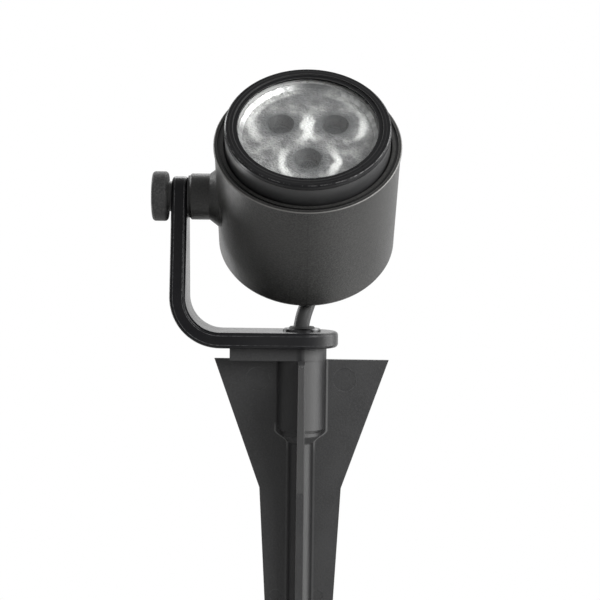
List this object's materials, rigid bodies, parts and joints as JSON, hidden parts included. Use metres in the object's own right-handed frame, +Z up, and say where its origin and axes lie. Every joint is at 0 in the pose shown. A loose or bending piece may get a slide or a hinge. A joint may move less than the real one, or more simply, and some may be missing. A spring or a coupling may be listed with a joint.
{
  "type": "garden spike spotlight",
  "caption": "Adjustable garden spotlight: round head with a three-cell lens on a bent bracket with a side clamp knob, cross-fin ground spike and cable with plug.",
  "frame": {"origin": "on the spike's axis, level with the top edge of its fins, where the soil or lawn would meet it", "axes": "+Z up along the spike, away from its point; the light shines towards -Y and up; +X runs along the tilt axis, away from the bracket's arm and the knob"},
  "size_m": [0.0988, 0.162, 0.3008],
  "materials": {
    "housing_black": "satin black coat on cast aluminium, fine grain, worn bright in places on the front rim",
    "bezel_black": "satin black coat on turned aluminium",
    "bracket_black": "satin black coat on bent aluminium bar",
    "spike_plastic": "moulded nylon, even fine grain",
    "knob_black": "moulded, spark-eroded matt",
    "washer_nylon": "smooth black nylon",
    "clear_glass": "toughened flat glass, polished edge",
    "optic_clear": "clear moulded acrylic, three wells with frosted walls",
    "holder_white": "white moulded tray",
    "board_white": "white solder mask on an aluminium-core board",
    "led_yellow": "phosphor under a clear dome",
    "pad_grey": "soft thermal pad",
    "bare_aluminium": "machined",
    "fastener_steel": "stainless",
    "board_green": "glass-fibre circuit board",
    "component_black": "moulded cases of a choke, a capacitor and two chips",
    "wire_red": "thin insulated wire",
    "core_blue": "thin insulated cable cores",
    "gland_rubber": "moulded black rubber",
    "gland_nylon": "black nylon nut",
    "seal_rubber": "silicone seal",
    "insert_brass": "turned brass",
    "cable_black": "round rubber-sheathed cable, dull",
    "tie_black": "flat strap",
    "plug_black": "moulded connector"
  },
  "bodies": {
    "stand": {"spike": "spike_plastic", "bracket": "bracket_black", "hollow_screw": "fastener_steel", "cable_bush": "gland_rubber", "thread_insert": "insert_brass", "cable_neck": "cable_black", "cable_in_spike": "cable_black", "cable_lead": "cable_black", "cable_coil": "cable_black", "cable_tail": "cable_black", "coil_tie": "tie_black", "plug_relief": "plug_black", "plug_body": "plug_black", "plug_pins": "insert_brass"},
    "head": {"lamp_housing": "housing_black", "lens_collar": "housing_black", "retaining_bezel": "bezel_black", "cover_glass": "clear_glass", "glass_gasket": "seal_rubber", "collar_seal": "seal_rubber", "triple_lens": "optic_clear", "optic_holder": "holder_white", "led_board": "board_white", "leds": "led_yellow", "thermal_pad": "pad_grey", "heat_spreader": "bare_aluminium", "spreader_screws": "fastener_steel", "led_board_screws": "fastener_steel", "driver_board": "board_green", "driver_screws": "fastener_steel", "driver_parts": "component_black", "lead_wires": "wire_red", "supply_cores": "core_blue", "cable_gland": "gland_rubber", "gland_nut": "gland_nylon", "cable_in_head": "cable_black", "friction_washer": "washer_nylon"},
    "washer": {"collar_washer": "washer_nylon"},
    "knob": {"clamp_knob": "knob_black", "clamp_stud": "fastener_steel"}
  },
  "joints": [
    {"name": "head_tilt", "type": "hinge", "parent": "stand", "child": "head", "pos_m": [0, 0, 0.0568], "axis": [-1, 0, 0], "range_deg": [-42, 48], "deforming": ["cable_neck"]},
    {"name": "knob_travel", "type": "slide", "parent": "head", "child": "washer", "axis": [-1, 0, 0], "range_m": [0, 0.0016]},
    {"name": "knob_turn", "type": "hinge", "parent": "washer", "child": "knob", "pos_m": [-0.049, 0, 0.0568], "axis": [-1, 0, 0], "range_deg": [0, 721]}
  ],
  "couplings": [
    {"joint": "knob_turn", "follows": "knob_travel", "rad_per_m": 7854}
  ]
}
